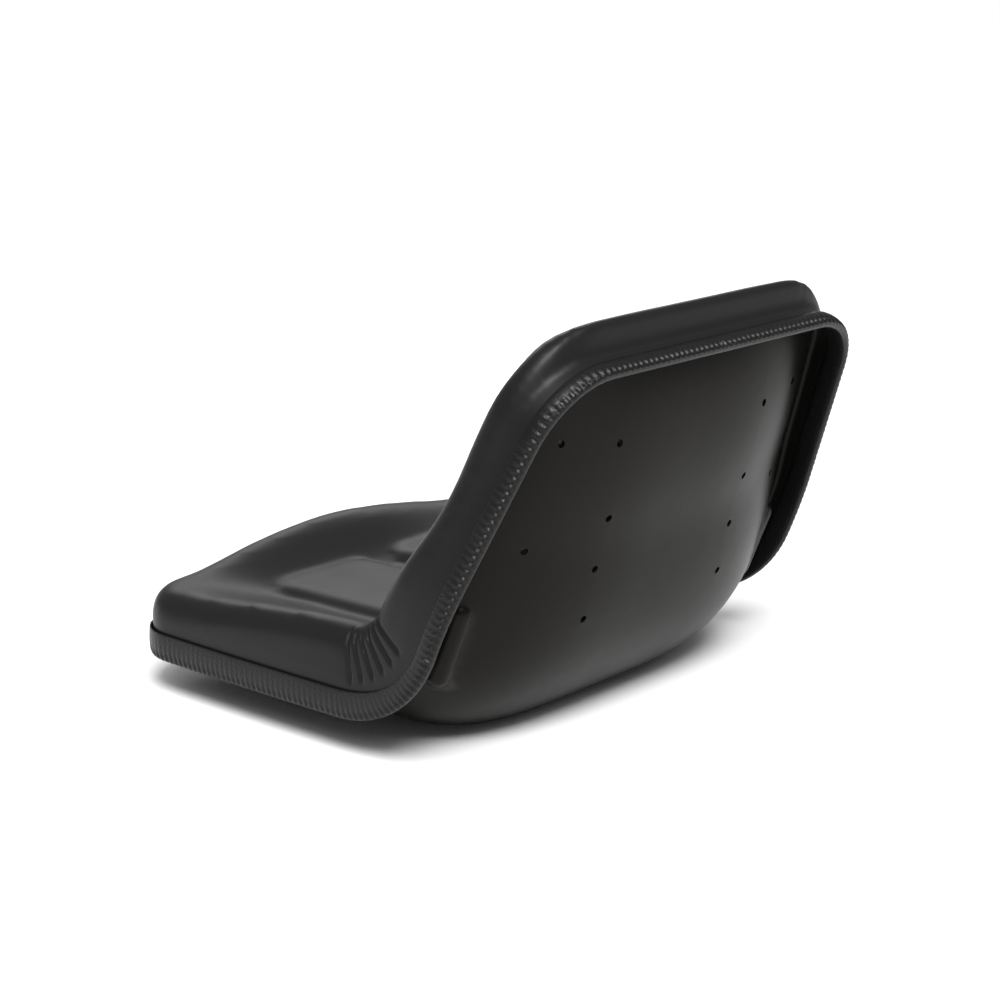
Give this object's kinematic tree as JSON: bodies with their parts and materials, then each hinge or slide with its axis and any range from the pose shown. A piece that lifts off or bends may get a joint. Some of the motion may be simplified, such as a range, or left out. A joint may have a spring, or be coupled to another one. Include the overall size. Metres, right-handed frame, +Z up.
{
  "type": "bucket seat",
  "caption": "Bucket seat with a pressed steel pan, a dished cushion with side bolsters under a formed vinyl cover, and a clip-on edge trim; it bolts to a machine by the flat of its pan.",
  "frame": {"origin": "centre of the mounting hole pattern, on the flat underside of the pan", "axes": "+Z up, -Y towards the front edge of the seat, +X towards the sitter's left"},
  "size_m": [0.49, 0.492, 0.3651],
  "materials": {
    "pan_paint": "semi-gloss black paint on pressed steel",
    "foam": "open-cell seat foam",
    "cover_vinyl": "smooth satin charcoal vinyl",
    "trim_plastic": "black plastic with a leather grain",
    "nut_steel": "plated steel"
  },
  "bodies": {
    "root": {"steel_pan": "pan_paint", "foam_cushion": "foam", "vinyl_cover": "cover_vinyl", "edge_trim": "trim_plastic", "mounting_nuts": "nut_steel"}
  },
  "joints": []
}
